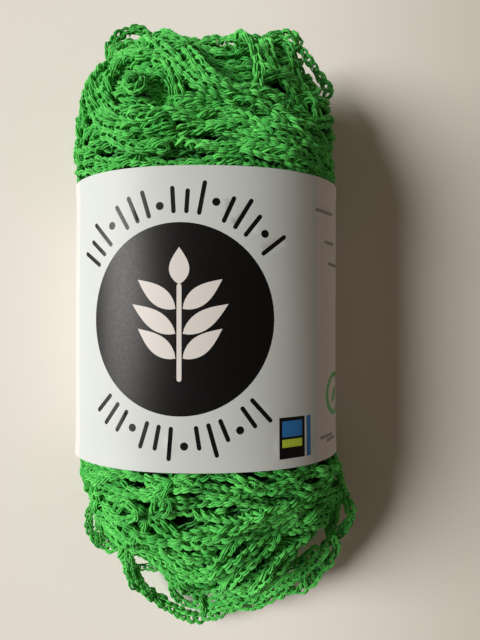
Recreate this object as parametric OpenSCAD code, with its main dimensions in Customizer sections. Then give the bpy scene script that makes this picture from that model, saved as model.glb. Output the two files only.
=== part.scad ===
// Crocheted cotton mesh bag, folded and rolled for sale and held by a printed paper sleeve.
// The roll lies on its side: X is across it, Y runs along it and Z is up.
// The origin is the middle of the sleeve's flat underside, where it rests on a table.

/* [Paper sleeve] */
// Outside width of the sleeve, across the roll
sleeve_w = 75; // [70:0.5:80]
// Outside height of the sleeve
sleeve_h = 50; // [47:0.5:56]
// Length of the sleeve along the roll: the width of a strip cut four to an A4 sheet
sleeve_len = 74.25; // [66:0.25:78]
// Thickness of the paper
paper_t = 0.25; // [0.15:0.05:0.35]
// Thickness of the glue in the overlap
glue_t = 0.1; // [0.05:0.05:0.2]
// Angle of the section that the glued overlap covers
lap_angle = 11; // [8:0.5:16]

/* [Roll] */
// How far the rolled net reaches from the sleeve's middle at the blunt end
roll_top = 80; // [72:1:88]
// How far the rolled net reaches at the tapered end
roll_bottom = 78; // [70:1:86]
// Number of turns in the roll
turns = 2.6; // [2.1:0.1:3.1]
// Thickness of the rolled net layers, as a share of the section
layer_share = 0.11; // [0.08:0.01:0.13]

/* [Yarn cords] */
// Diameter of one crocheted chain cord
cord_d = 2.6; // [2:0.1:3.2]
// Radial clearance between a loop's eye and the cord that it hangs on
eye_gap = 0.08; // [0.05:0.01:0.09]

/* [Handle strap] */
// Width of the folded strap
strap_w = 16; // [12:1:16]
// Thickness of the strap
strap_t = 1.8; // [1.4:0.1:1.8]
// Number of passes that the strap makes inside the roll
strap_passes = 5; // [3:2:5]

/* [Hidden] */
$fn = 32;

yarn_green = [0.10, 0.60, 0.20];
strap_green = [0.12, 0.66, 0.24];
paper_white = [0.86, 0.90, 0.89];
glue_cream = [0.95, 0.92, 0.80];

mid_z = 24;                // height of the section's widest point
sink = 0.6;                // how far the round section would dip below the table
top_power = 2.15;          // roundness of the upper half of the section
low_power = 2.6;           // the lower half is squarer, because it rests on a table
lap_start = 216;           // angle of the section where the paper strip begins
lap_ramp = 8;              // angle over which the strip steps up onto its own start
paper_step = 2.5;          // angle between points of the paper strip
glue_clear = 0.02;         // clearance between the glue and the paper on each side

roll_fit = 0.985;          // share of the sleeve's section that the roll fills
table_gap = 0.4;           // height of the roll's underside above the table
roll_start = 20;           // angle of the rolled sheet's inner edge
inner_share = 0.42;        // where the sheet's middle starts, as a share of the section
outer_share = 0.93;        // where the sheet's middle ends
top_round = [7, 0.38];     // how the blunt end rounds off: power of the length, power of the rest
bottom_round = [6, 0.45];  // how the tapered end rounds off
top_lift = 8;              // how far the blunt end's underside would rise at its very tip
bottom_lift = 4;           // the same for the tapered end
sheet_step = 14;           // angle between points of the rolled sheet

strap_z = 23;              // height of the strap's middle pass
strap_pitch = strap_t + 0.6;
strap_y = [-58, 62];       // where the strap turns back on itself
rim_angle = 13;            // width of the mouth rim as an angle of the section
stitch_r = 0.5;            // radius of the sewing thread's stitches
stitch_pitch = 1.8;
stitch_count = 4;

ring_r = 3.6;              // radius of the base ring, to the middle of its cord
ring_angle = 120;          // where on the section the base ring lies
ring_share = 0.94;         // how far out in the section it lies
ring_y = 61.5;
ring_tilt = 15;

cord_r = cord_d / 2;
eye_r = cord_r + eye_gap;
eye_wall = 1.2;
eye_len = 2;
strand_r = eye_wall / 2;

top_cord = [0, 83, 20];        // middle of the end cord at the blunt end
bottom_cord = [0, -81, 11];    // middle of the end cord at the tapered end
left_cord = [-35.5, -65, 19];  // middle of the side cord on the left
right_cord = [37.5, -60, 19];  // middle of the side cord on the right
end_cord_len = 54;
side_cord_len = 19;
leg_len = 10;                  // how far an edge cord's legs run into the roll
leg_r = 0.9 * cord_r;
end_leg_at = 5;                // how far an end cord's legs are from its middle
side_leg_at = 2;               // the same for a side cord
web_tip = [3, 19];             // the point where the long strands of the last mesh row meet
web_inner = [2, 10];           // where its two inner strands meet
web_eyes = [-21, -8, 9, 22];   // where its four strands hang on the end cord

// ---- Section of the roll ----

// A power that keeps its sign, for a superellipse.
function round_power(c, n) = sign(c) * pow(abs(c), 2 / n);

// A point on the sleeve's outside section, as [x, z].
function oval(phi) =
    let (s = sin(phi), n = s < 0 ? low_power : top_power,
         up = s < 0 ? mid_z + sink : sleeve_h - mid_z)
    [sleeve_w / 2 * round_power(cos(phi), n), max(0, mid_z + up * round_power(s, n))];

// The outward normal of the section.
function oval_normal(phi) =
    let (t = oval(phi + 0.5) - oval(phi - 0.5), l = norm(t))
    [t[1] / l, -t[0] / l];

// A point a distance out from the section.
function offset_point(phi, out) = oval(phi) + out * oval_normal(phi);

// How far the paper strip has stepped up onto its own start at this angle.
function lap_out(phi) =
    let (t = min(1, max(0, (phi - (lap_start + 360 - lap_ramp)) / lap_ramp)))
    (paper_t + glue_t) * t * t * (3 - 2 * t);

// ---- Shape of the roll along its length ----

// How full the section is at a distance along the roll.
function taper(y) =
    let (s = y > 0 ? y / roll_top : -y / roll_bottom, p = y > 0 ? top_round : bottom_round)
    pow(1 - pow(s, p[0]), p[1]);

function lift(y) = table_gap + (1 - taper(y)) * (y > 0 ? top_lift : bottom_lift);

// A point of the roll: share of the section, angle and distance along it.
function roll_point(share, phi, y) =
    let (p = oval(phi), k = roll_fit * taper(y))
    [k * share * p[0], y, lift(y) + k * (mid_z + share * (p[1] - mid_z))];

// Distances along the roll between two ends, closer together where it rounds off.
function stations(y0, y1, count) =
    [for (i = [0:count]) let (t = -cos(180 * i / count)) (y0 + y1) / 2 + t * (y1 - y0) / 2];

// A sheet wound from one angle and share to another, as a closed solid.
module wound_sheet(phi0, phi1, share0, share1, half, ys) {
    steps = ceil((phi1 - phi0) / sheet_step);
    rail = [for (i = [0:steps]) let (t = i / steps) [phi0 + t * (phi1 - phi0), share0 + t * (share1 - share0)]];
    across = 2 * (steps + 1);
    last = len(ys) - 1;
    points = [for (y = ys) each concat(
        [for (r = rail) roll_point(r[1] + half, r[0], y)],
        [for (i = [steps:-1:0]) roll_point(rail[i][1] - half, rail[i][0], y)])];
    walls = [for (j = [0:last - 1], i = [0:across - 1])
        let (n = (i + 1) % across, a = j * across, b = a + across) each
        [[a + i, a + n, b + n], [a + i, b + n, b + i]]];
    ends = [for (j = [0, last], i = [0:steps - 1])
        let (a = j * across, o = a + i, p = a + across - 1 - i) each
        j == 0 ? [[o, p, p - 1], [o, p - 1, o + 1]] : [[o, p - 1, p], [o, o + 1, p - 1]]];
    polyhedron(points, concat(walls, ends), convexity = 8);
}

// ---- Cords ----

// A round rod between two points, with square ends.
module rod(a, b, r) {
    d = b - a;
    translate(a)
        rotate([0, acos(d[2] / norm(d)), atan2(d[1], d[0])])
            cylinder(r = r, h = norm(d));
}

// A round cord between two points, with rounded ends.
module cord(a, b) {
    rod(a, b, cord_r);
    translate(a) sphere(cord_r);
    translate(b) sphere(cord_r);
}

// An edge cord along X, held by two legs towards -Y that are worked into the net.
module edge_cord(length, leg_at) {
    cord([-length / 2, 0, 0], [length / 2, 0, 0]);
    for (side = [-1, 1])
        rod([side * leg_at, 0, 0], [side * leg_at, -leg_len, 0], leg_r);
}

// The eye where a loop wraps round its cord, about the X axis.
module eye(x) {
    translate([x - eye_len / 2, 0, 0])
        rotate([0, 90, 0])
            difference() {
                cylinder(r = eye_r + eye_wall, h = eye_len);
                translate([0, 0, -1]) cylinder(r = eye_r, h = eye_len + 2);
            }
}

// A straight stretch of a loop that starts inside its eye's wall, clear of the bore.
module loop_leg(x, reach) {
    rod([x, eye_r + strand_r, 0], [x, reach, 0], strand_r);
}

// A loop on the X axis that reaches towards +Y and ends in a half ring.
module end_loop(width, reach) {
    half = width / 2;
    for (side = [-1, 1]) {
        eye(side * half);
        loop_leg(side * half, reach - half);
    }
    translate([0, reach - half, 0])
        rotate_extrude(angle = 180)
            translate([half, 0]) circle(r = strand_r);
}

// A flat strand between two points of the XY plane, as wide as a loop's thread.
module flat_strand(a, b) {
    d = b - a;
    translate(a)
        rotate(atan2(d[1], d[0]))
            translate([-strand_r, -strand_r])
                square([norm(d) + 2 * strand_r, 2 * strand_r]);
}

// ---- Sub-parts ----

module net_body() {
    color(yarn_green)
        wound_sheet(roll_start, roll_start + turns * 360, inner_share, outer_share,
            layer_share / 2, stations(-0.985 * roll_bottom, 0.985 * roll_top, 12));
}

module mouth_rim() {
    color(strap_green)
        wound_sheet(roll_start - rim_angle - 1, roll_start - 1, inner_share, inner_share,
            layer_share / 2, stations(strap_y[0], strap_y[1], 8));
}

// One half ring of the strap's profile, joining two passes at y.
module strap_bend(y, z, way) {
    translate([y, z])
        intersection() {
            difference() {
                circle(r = (strap_pitch + strap_t) / 2);
                circle(r = (strap_pitch - strap_t) / 2);
            }
            translate([way > 0 ? 0 : -strap_pitch * 2, -strap_pitch * 2])
                square([strap_pitch * 2, strap_pitch * 4]);
        }
}

module handle_strap() {
    first = strap_z - strap_pitch * (strap_passes - 1) / 2;
    color(strap_green)
        translate([-strap_w / 2, 0, 0])
            rotate([90, 0, 90])
                linear_extrude(strap_w) {
                    for (i = [0:strap_passes - 1])
                        translate([strap_y[0], first + i * strap_pitch - strap_t / 2])
                            square([strap_y[1] - strap_y[0], strap_t]);
                    for (i = [0:strap_passes - 2])
                        strap_bend(strap_y[i % 2 == 0 ? 1 : 0], first + (i + 0.5) * strap_pitch,
                            i % 2 == 0 ? 1 : -1);
                }
}

// Whip stitches that sew a strap end to the mouth rim, as rods of thread through both.
module strap_stitches(y, strap_end_z) {
    color(yarn_green)
        for (i = [0:stitch_count - 1]) {
            at = y + i * stitch_pitch;
            rim = roll_point(inner_share, roll_start - 1 - rim_angle / 2, at);
            rod([strap_w / 2 - 1, at, strap_end_z], [rim[0], at, rim[2]], stitch_r);
        }
}

module strap_stitches_top() {
    strap_stitches(strap_y[1] - 8, strap_z + strap_pitch * (strap_passes - 1) / 2);
}

module strap_stitches_bottom() {
    strap_stitches(strap_y[0] + 2, strap_z - strap_pitch * (strap_passes - 1) / 2);
}

// The ring of stitches where the crochet of the bag's base starts.
module base_ring() {
    color(strap_green)
        translate(roll_point(ring_share, ring_angle, ring_y))
            rotate([-ring_tilt, 0, 0])
                rotate_extrude()
                    translate([ring_r, 0]) circle(r = cord_r);
}

module top_edge_cord() {
    color(yarn_green) translate(top_cord) edge_cord(end_cord_len, end_leg_at);
}

module bottom_edge_cord() {
    color(yarn_green) translate(bottom_cord) rotate(180) edge_cord(end_cord_len, end_leg_at);
}

module left_side_cord() {
    color(yarn_green) translate(left_cord) rotate(90) edge_cord(side_cord_len, side_leg_at);
}

module right_side_cord() {
    color(yarn_green) translate(right_cord) rotate(-90) edge_cord(side_cord_len, side_leg_at);
}

module top_left_loop() {
    color(yarn_green) translate(top_cord + [-18, 0, 0]) end_loop(14, 9);
}

module top_right_loop() {
    color(yarn_green) translate(top_cord + [20.5, 0, 0]) end_loop(11, 8);
}

module left_side_loop() {
    color(yarn_green) translate(left_cord) rotate(90) end_loop(11, 7.5);
}

module right_side_loop() {
    color(yarn_green) translate(right_cord) rotate(-90) end_loop(11, 8.5);
}

// The last row of mesh at the tapered end: two long strands and two short ones that meet in a point.
module bottom_web() {
    color(yarn_green)
        translate(bottom_cord)
            rotate(180) {
                for (x = web_eyes)
                    eye(x);
                linear_extrude(2 * strand_r, center = true) {
                    for (i = [0:3])
                        flat_strand([web_eyes[i], eye_r + 2 * strand_r], i % 3 == 0 ? web_tip : web_inner);
                    flat_strand(web_inner, web_tip);
                }
            }
}

// A band of the sleeve's section between two distances out from it.
module section_band(phi0, phi1, low, high) {
    steps = ceil((phi1 - phi0) / paper_step);
    angles = [for (i = [0:steps]) phi0 + (phi1 - phi0) * i / steps];
    translate([0, sleeve_len / 2, 0])
        rotate([90, 0, 0])
            linear_extrude(sleeve_len)
                polygon(concat(
                    [for (a = angles) offset_point(a, lap_out(a) + high)],
                    [for (i = [steps:-1:0]) offset_point(angles[i], lap_out(angles[i]) + low)]));
}

module paper_sleeve() {
    color(paper_white)
        section_band(lap_start, lap_start + 360 + lap_angle, -paper_t, 0);
}

module sleeve_glue() {
    color(glue_cream)
        section_band(lap_start + 0.5, lap_start + lap_angle - 0.5, glue_clear, glue_t - glue_clear);
}

net_body();
mouth_rim();
handle_strap();
strap_stitches_top();
strap_stitches_bottom();
base_ring();
top_edge_cord();
bottom_edge_cord();
left_side_cord();
right_side_cord();
top_left_loop();
top_right_loop();
left_side_loop();
right_side_loop();
bottom_web();
paper_sleeve();
sleeve_glue();
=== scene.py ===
"""Looks of a rolled crochet mesh bag in a paper sleeve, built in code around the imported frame.

Shapes are worked out in millimetres and turned into metres when a mesh is made.
"""
import math

import bpy
import numpy as np
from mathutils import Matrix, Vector
from mathutils.geometry import delaunay_2d_cdt


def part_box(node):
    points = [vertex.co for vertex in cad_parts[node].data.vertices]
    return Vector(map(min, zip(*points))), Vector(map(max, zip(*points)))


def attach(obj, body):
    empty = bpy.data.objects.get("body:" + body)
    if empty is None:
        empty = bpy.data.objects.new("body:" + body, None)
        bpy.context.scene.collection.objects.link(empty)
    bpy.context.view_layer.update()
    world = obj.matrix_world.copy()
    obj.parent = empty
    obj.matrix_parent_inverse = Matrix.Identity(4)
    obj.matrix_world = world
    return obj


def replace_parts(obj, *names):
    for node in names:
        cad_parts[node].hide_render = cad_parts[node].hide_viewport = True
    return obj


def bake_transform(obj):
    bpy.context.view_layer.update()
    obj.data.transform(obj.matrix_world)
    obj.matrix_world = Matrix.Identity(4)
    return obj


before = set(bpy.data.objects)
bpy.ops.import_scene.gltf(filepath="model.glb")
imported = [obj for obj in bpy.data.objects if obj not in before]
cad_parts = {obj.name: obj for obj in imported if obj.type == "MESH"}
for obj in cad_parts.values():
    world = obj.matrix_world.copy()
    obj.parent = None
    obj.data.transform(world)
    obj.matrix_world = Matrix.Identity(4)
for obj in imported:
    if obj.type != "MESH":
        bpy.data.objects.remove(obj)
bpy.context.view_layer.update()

MM = 0.001
TAU = 2 * math.pi


def cad_box(node):
    """A CAD node's lowest and highest corners, in millimetres."""
    low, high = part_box(node)
    return np.array(low) / MM, np.array(high) / MM


# ---------------- section and roll surface

sleeve_low, sleeve_high = cad_box("paper_sleeve")
SLEEVE_W = sleeve_high[0] - sleeve_low[0]
SLEEVE_H = sleeve_high[2]
SLEEVE_END = sleeve_high[1]          # the sleeve runs from -SLEEVE_END to +SLEEVE_END along Y
PAPER = 0.25                         # thickness of the paper
MID_Z = 24.0                         # height of the section's widest point
SINK = 0.6                           # how far the round section would dip below the table
TOP_POWER = 2.15
LOW_POWER = 2.6
LAP_START = 216.0                    # where the strip begins, in degrees round the section
LAP_ANGLE = 11.0
LAP_RAMP = 8.0
LAP_STEP = 0.35                      # how far the strip's end stands out over its start


def section(phi):
    """X and Z of the sleeve's outside at an angle in degrees: 0 is +X and 90 is the top."""
    c = np.cos(np.radians(phi))
    s = np.sin(np.radians(phi))
    power = np.where(s < 0, LOW_POWER, TOP_POWER)
    reach = np.where(s < 0, MID_Z + SINK, SLEEVE_H - MID_Z)
    x = SLEEVE_W / 2 * np.sign(c) * np.abs(c) ** (2 / power)
    z = MID_Z + reach * np.sign(s) * np.abs(s) ** (2 / power)
    return x, np.maximum(z, 0)


def section_normal(phi):
    """The section's outward normal, as X and Z."""
    x0, z0 = section(phi - 1)
    x1, z1 = section(phi + 1)
    length = np.hypot(x1 - x0, z1 - z0)
    return (z1 - z0) / length, -(x1 - x0) / length


def run_along(path):
    """The length of a path up to each of its points."""
    return np.concatenate([[0], np.cumsum(np.linalg.norm(np.diff(path, axis=0), axis=1))])


def smoothstep(low, high, x):
    t = np.clip((x - low) / (high - low), 0, 1)
    return t * t * (3 - 2 * t)


# The way round is measured from the underside's middle, as a share of the perimeter.
_phi = np.linspace(-90, 270, 1441)
_sx, _sz = section(_phi)
_run = run_along(np.stack([_sx, _sz], -1))
PERIMETER = _run[-1]

# The roll's profile along Y: how full the section is, from its tapered end to its blunt end.
BLUNT_END = 81.0
TAPERED_END = 77.0
BLUNT_POWERS = (8.5, 2.5)            # of the length and of the fullness
TAPERED_POWERS = (5.0, 2.0)
BLUNT_LIFT = 9.0                     # how far the underside rises where the end closes
TAPERED_LIFT = 5.0
MEAN_RADIUS = 31.0
STEEPEST = 0.99                      # most that the outward direction may turn along Y


def half_profile(length, powers):
    """Y and fullness from the roll's middle to one end, with points closer together at the end."""
    angle = np.linspace(0, 1, 400) ** 0.5 * math.pi / 2
    return length * np.sin(angle) ** (2 / powers[0]), np.cos(angle) ** (2 / powers[1])


_taper_y, _taper_k = half_profile(TAPERED_END, TAPERED_POWERS)
_blunt_y, _blunt_k = half_profile(BLUNT_END, BLUNT_POWERS)
PROFILE_Y = np.concatenate([-_taper_y[::-1], _blunt_y[1:]])
PROFILE_K = np.clip(np.concatenate([_taper_k[::-1], _blunt_k[1:]]), 0.004, 1)
PROFILE_M = run_along(np.stack([PROFILE_Y, MEAN_RADIUS * PROFILE_K], -1))
PROFILE_M -= np.interp(0, PROFILE_Y, PROFILE_M)
PROFILE_NY = -np.clip(np.gradient(MEAN_RADIUS * PROFILE_K, PROFILE_M), -STEEPEST, STEEPEST)


def roll_point(share, m, out):
    """Points and outward normals of the roll's surface.

    share is the way round from the underside, m the way along the profile and out the distance outwards.
    """
    phi = np.interp(share % 1.0, _run / PERIMETER, _phi)
    sx, sz = section(phi)
    nx, nz = section_normal(phi)
    y, k, ny = (np.interp(m, PROFILE_M, values) for values in (PROFILE_Y, PROFILE_K, PROFILE_NY))
    lift = (1 - k) * np.where(y > 0, BLUNT_LIFT, TAPERED_LIFT)
    flat = np.sqrt(1 - ny ** 2)
    normal = np.stack([nx * flat, ny, nz * flat], -1)
    point = np.stack([k * sx, y, lift + k * sz], -1) + normal * np.asarray(out)[..., None]
    return point, normal


WAVES = 14


class Ripples:
    """Smooth noise over the roll: a sum of waves that close round it."""

    def __init__(self, seed, around, along, size):
        rng = np.random.default_rng(seed)
        self.turns = rng.integers(-around, around + 1, WAVES)
        self.pace = rng.uniform(-1, 1, WAVES) / along
        self.phase = rng.uniform(0, TAU, WAVES)
        self.size = size * math.sqrt(2 / WAVES)

    def __call__(self, share, m):
        share, m = np.broadcast_arrays(share, m)
        angle = TAU * (share[..., None] * self.turns + m[..., None] * self.pace) + self.phase
        return self.size * np.sin(angle).sum(-1)


# ---------------- crochet chain

# One stitch from its base to its head: pitches along the cord, cord widths across it and above it.
STITCH = np.array([
    (-0.32, 0.05, -0.26),
    (-0.02, 0.16, 0.02),
    (0.40, 0.31, 0.25),
    (0.88, 0.36, 0.20),
    (1.24, 0.25, -0.02),
    (1.40, 0.00, -0.18),
])
WIDTH = 2.9                          # width of a chain cord
PITCH = 2.35                         # length of cord that one stitch takes
TABLE = 1.70                         # lowest that a cord's middle may lie
# How uneven the stitches are, as standard deviations: shares of a width or of a stitch, and radians.
UNEVEN_WIDTH = 0.13
UNEVEN_PLACE = 0.10
UNEVEN_LEAN = 0.24
UNEVEN_TURN = 0.25
UNEVEN_SPREAD = 0.14
UNEVEN_THREAD = 0.08
# The threads of a strand, in cord widths: how far they stand from its middle, and their radius.
PLY_ACROSS = 0.155
PLY_OUT = 0.095
THREAD = 0.082
THREAD_OF_TWO = 0.105                # where only two threads stand for the strand
PLY_TWIST = 2.2                      # how far the threads wind in half a stitch, in radians
# How much of each kind of chain is drawn.
FULL = dict(threads=4, samples=12, sides=5)
MEDIUM = dict(threads=3, samples=10, sides=4)
LIGHT = dict(threads=2, samples=9, sides=4)
# Each thread has its own cell of the UV map, with a cap at either end of it.
CELL_EDGE = 0.12
CELL_FILL = 0.76
CAP_LOW = 0.06
CAP_HIGH = 0.94
CAP_TALL = 0.03


def smooth_curve(points, count):
    """A Catmull-Rom curve through points, sampled count times."""
    points = np.array(points, float)
    padded = np.concatenate([[2 * points[0] - points[1]], points, [2 * points[-1] - points[-2]]])
    at = np.linspace(0, len(points) - 1 - 1e-9, count)
    i = at.astype(int)
    t = (at - i)[:, None]
    a, b, c, d = (padded[i + n] for n in range(4))
    bend = 2 * a - 5 * b + 4 * c - d
    twist = 3 * b - a - 3 * c + d
    return 0.5 * (2 * b + (c - a) * t + bend * t ** 2 + twist * t ** 3)


def stitch_curve(samples):
    """One whole stitch, up its left leg and down its right, as along, across and above."""
    left = STITCH * (1, -1, 1)
    return smooth_curve(np.concatenate([left, STITCH[-2::-1]]), samples)


def unit(v):
    return v / np.maximum(np.linalg.norm(v, axis=-1, keepdims=True), 1e-9)


def clear_of_table(points, low=TABLE):
    """Cords near the table come to rest on it instead of passing through it."""
    z = points[..., 2]
    points[..., 2] = low + np.logaddexp(0, 3 * (z - low)) / 3
    return points


class Yarn:
    """Gathers threads, as centre lines with a radius, and makes one mesh of them."""

    def __init__(self, seed):
        self.rng = np.random.default_rng(seed)
        self.batches = []

    def add(self, lines, up, radius, sides, shade, depth):
        """lines and up are (threads, points, 3) and radius is (threads, points); the rest are per thread."""
        self.batches.append((lines, up, radius, sides, shade, depth))

    def uneven(self, size, count, limit=math.inf):
        """A random number for each stitch, as a column."""
        return size * self.rng.standard_normal((count, 1)).clip(-limit, limit)

    def chain(self, path, up, threads, samples, sides, width=WIDTH, pitch=PITCH, thick=1.0, depth=0.0,
              closed=False):
        """A crochet chain along path, facing up."""
        if closed:
            path = np.concatenate([path, path[:1]])
            up = np.concatenate([up, up[:1]])
        run = run_along(path)
        count = max(2, round(run[-1] / pitch))
        step = run[-1] / count
        along = unit(np.gradient(path, axis=0))
        side = unit(np.cross(up, along))
        up = np.cross(along, side)
        if closed:
            extra = int(np.searchsorted(run, 3 * step)) + 1
            run = np.concatenate([run, run[-1] + run[1:extra]])
            path, side, up = (np.concatenate([v, v[1:extra]]) for v in (path, side, up))
        n = count if closed else count - 1
        shape = stitch_curve(samples)
        wide = width * (1 + self.uneven(UNEVEN_WIDTH, n, 2))
        at = (np.arange(n)[:, None] + 0.35 + shape[:, 0] + self.uneven(UNEVEN_PLACE, n, 2)) * step
        lean = self.uneven(UNEVEN_LEAN, n)
        u = wide * (shape[:, 1] + lean * shape[:, 2])
        v = wide * thick * (shape[:, 2] - lean * shape[:, 1])

        def read(table):
            return np.stack([np.interp(at, run, table[:, c]) for c in range(3)], -1)

        s, w = read(side), read(up)
        centre = read(path) + s * u[..., None] + w * v[..., None]
        strand = unit(np.gradient(centre, axis=1))
        out = s * (u / wide)[..., None] + w * (v / wide + 0.45)[..., None]
        across = unit(np.cross(strand, unit(out)))
        out = np.cross(across, strand)
        q = np.linspace(-1, 1, samples)
        taper = 1 - 0.35 * np.abs(q) ** 6
        thin = THREAD if threads > 2 else THREAD_OF_TWO
        phase = self.rng.uniform(0, TAU, (n, 1))
        lines, radii = [], []
        for k in range(threads):
            turn = TAU * k / threads + phase + PLY_TWIST * q + self.uneven(UNEVEN_TURN, n)
            reach = wide * (1 + self.uneven(UNEVEN_SPREAD, n))
            offset = across * (PLY_ACROSS * reach * np.cos(turn))[..., None]
            lines.append(centre + offset + out * (PLY_OUT * reach * np.sin(turn))[..., None])
            radii.append(thin * wide * taper * (1 + self.uneven(UNEVEN_THREAD, n)))
        shade = 0.7 * self.rng.uniform(0, 1, n) + 0.3 * self.rng.uniform(0, 1, (threads, n))
        ups = np.tile(out, (threads, 1, 1))
        depths = np.full(threads * n, depth)
        self.add(np.concatenate(lines), ups, np.concatenate(radii), sides, shade.ravel(), depths)

    def fuzz(self, share=0.10):
        """Fine loose fibres that stand off a share of the threads beyond the sleeve."""
        rng = self.rng
        fibres = []
        for lines, up, _, _, _, depth in self.batches:
            pick = rng.choice(len(lines), int(len(lines) * share), replace=False)
            pick = pick[np.abs(lines[pick, 0, 1]) > SLEEVE_END + 3]
            at = rng.integers(2, lines.shape[1] - 2, len(pick))
            start, out = lines[pick, at], up[pick, at]
            along = unit(lines[pick, at + 1] - lines[pick, at - 1])
            sway = rng.standard_normal((len(pick), 3))
            length = rng.uniform(0.9, 2.4, (len(pick), 1))
            bend = rng.standard_normal((len(pick), 3)) * 0.5
            lean = unit(out + 0.9 * along * rng.choice([-1, 1], (len(pick), 1)) + 0.5 * sway)
            t = np.linspace(0, 1, 6)[None, :, None]
            line = start[:, None] + (lean * length)[:, None] * t + (bend * length)[:, None] * t ** 2
            line = clear_of_table(line, 0.1)
            thin = np.broadcast_to(0.045 - 0.025 * t[..., 0], line.shape[:2])
            ups = np.broadcast_to(out[:, None], line.shape)
            # each fibre gets 0.3 of its thread's painted deep shade
            fibres.append((line, ups, thin, 3, np.ones(len(pick)), 0.3 * depth[pick]))
        self.batches += fibres

    def face_count(self):
        return sum(2 * lines.shape[0] * lines.shape[1] * sides for lines, _, _, sides, _, _ in self.batches)

    def mesh(self, name):
        """One mesh of every thread, with its random shade of tone, its painted deep shade and a UV cell for
        each thread.
        """
        grid = math.ceil(math.sqrt(sum(len(batch[0]) for batch in self.batches)))
        points, corners, sizes, uvs, shades, depths = [], [], [], [], [], []
        base, cell = 0, 0
        for lines, up, radius, sides, shade, depth in self.batches:
            n, m = lines.shape[:2]
            along = unit(np.gradient(lines, axis=1))
            side = unit(np.cross(along, up))
            top = np.cross(side, along)
            angle = TAU * np.arange(sides) / sides
            ring = side[:, :, None] * np.cos(angle)[:, None] + top[:, :, None] * np.sin(angle)[:, None]
            points.append((lines[:, :, None] + ring * radius[:, :, None, None]).reshape(-1, 3))
            shades.append(np.repeat(shade, m * sides))
            depths.append(np.repeat(depth, m * sides))
            first = base + np.arange(n)[:, None, None] * m * sides
            j = np.arange(m - 1)[:, None] * sides
            k = np.arange(sides)
            k1 = (k + 1) % sides
            low = first + j
            quads = np.stack([low + k, low + k1, low + sides + k1, low + sides + k], -1)
            corners.append(quads.ravel())
            sizes.append(np.full(quads.size // 4, 4))
            cy, cx = np.divmod(cell + np.arange(n), grid)
            u = (cx[:, None, None] + CELL_EDGE + CELL_FILL * np.arange(sides + 1) / sides) / grid
            v = (cy[:, None, None] + CELL_EDGE + CELL_FILL * np.arange(m)[:, None] / (m - 1)) / grid
            uv = np.stack(np.broadcast_arrays(u, v), -1)
            quad_uv = np.stack([uv[:, :-1, :-1], uv[:, :-1, 1:], uv[:, 1:, 1:], uv[:, 1:, :-1]], -2)
            uvs.append(quad_uv.reshape(-1, 2))
            for ring_at, order, edge in ((0, k[::-1], CAP_LOW), (m - 1, k, CAP_HIGH)):
                corners.append((first[:, 0] + ring_at * sides + order).ravel())
                sizes.append(np.full(n, sides))
                cap_u = (cx[:, None] + CELL_EDGE + CELL_FILL * order / sides) / grid
                cap_v = (cy[:, None] + edge + CAP_TALL * np.sin(angle[order])) / grid
                uvs.append(np.stack([cap_u, cap_v], -1).reshape(-1, 2))
            base += n * m * sides
            cell += n
        self.batches = []
        points, corners, sizes, uvs, shades, depths = map(
            np.concatenate, (points, corners, sizes, uvs, shades, depths))
        return make_mesh(name, points, corners, sizes, YARN, uv=uvs, shade=shades, depth=depths)


def make_mesh(name, points, corners, sizes, material, uv=None, **attributes):
    """A smooth-shaded mesh object from points in millimetres and faces given as corner lists."""
    mesh = bpy.data.meshes.new(name)
    mesh.vertices.add(len(points))
    mesh.vertices.foreach_set("co", (points * MM).astype(np.float32).ravel())
    mesh.loops.add(len(corners))
    mesh.loops.foreach_set("vertex_index", corners.astype(np.int32))
    mesh.polygons.add(len(sizes))
    starts = np.concatenate([[0], np.cumsum(sizes)[:-1]])
    mesh.polygons.foreach_set("loop_start", starts.astype(np.int32))
    mesh.polygons.foreach_set("loop_total", sizes.astype(np.int32))
    mesh.polygons.foreach_set("use_smooth", np.ones(len(sizes), bool))
    if uv is not None:
        layer = mesh.uv_layers.new(name="OFBake")
        layer.uv.foreach_set("vector", uv.astype(np.float32).ravel())
    for key, values in attributes.items():
        layer = mesh.attributes.new(key, "FLOAT", "POINT")
        layer.data.foreach_set("value", values.astype(np.float32))
    mesh.update(calc_edges=True)
    mesh.materials.append(material)
    thing = bpy.data.objects.new(name, mesh)
    bpy.context.scene.collection.objects.link(thing)
    return thing


# ---------------- materials

def new_material(name):
    """A new material with its node tree and its main shader."""
    material = bpy.data.materials.new(name)
    material.use_nodes = True
    return material, material.node_tree, material.node_tree.nodes["Principled BSDF"]


def set_inputs(tree, node, inputs):
    """Gives each named input its value, or joins it to another node's output."""
    for key, value in inputs.items():
        if isinstance(value, bpy.types.NodeSocket):
            tree.links.new(value, node.inputs[key])
        else:
            node.inputs[key].default_value = value


def put(tree, kind, inputs=None, **settings):
    """Adds a shader node with its settings and inputs."""
    node = tree.nodes.new("ShaderNode" + kind)
    for key, value in settings.items():
        setattr(node, key, value)
    set_inputs(tree, node, inputs or {})
    return node


def noise(tree, scale, detail=2):
    """Noise in the object's own space, with scale per metre."""
    place = put(tree, "TexCoord").outputs["Object"]
    return put(tree, "TexNoise", {"Vector": place, "Scale": scale, "Detail": detail}).outputs["Fac"]


def calculate(tree, operation, *values):
    return put(tree, "Math", dict(enumerate(values)), operation=operation).outputs[0]


def remap(tree, value, low, high, start=0, end=1, **settings):
    """Carries a value from the range start to end into the range low to high."""
    inputs = {"Value": value, "From Min": start, "From Max": end, "To Min": low, "To Max": high}
    return put(tree, "MapRange", inputs, **settings).outputs["Result"]


def mix_colours(tree, factor, a, b):
    return put(tree, "Mix", {"Factor": factor, "A": a, "B": b}, data_type="RGBA").outputs["Result"]


def colour_ramp(tree, value, stops):
    """A colour by value, from two stops that are each a place and a colour."""
    node = put(tree, "ValToRGB", {"Fac": value})
    for element, (place, colour) in zip(node.color_ramp.elements, stops):
        element.position = place
        element.color = colour
    return node.outputs["Color"]


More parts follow.
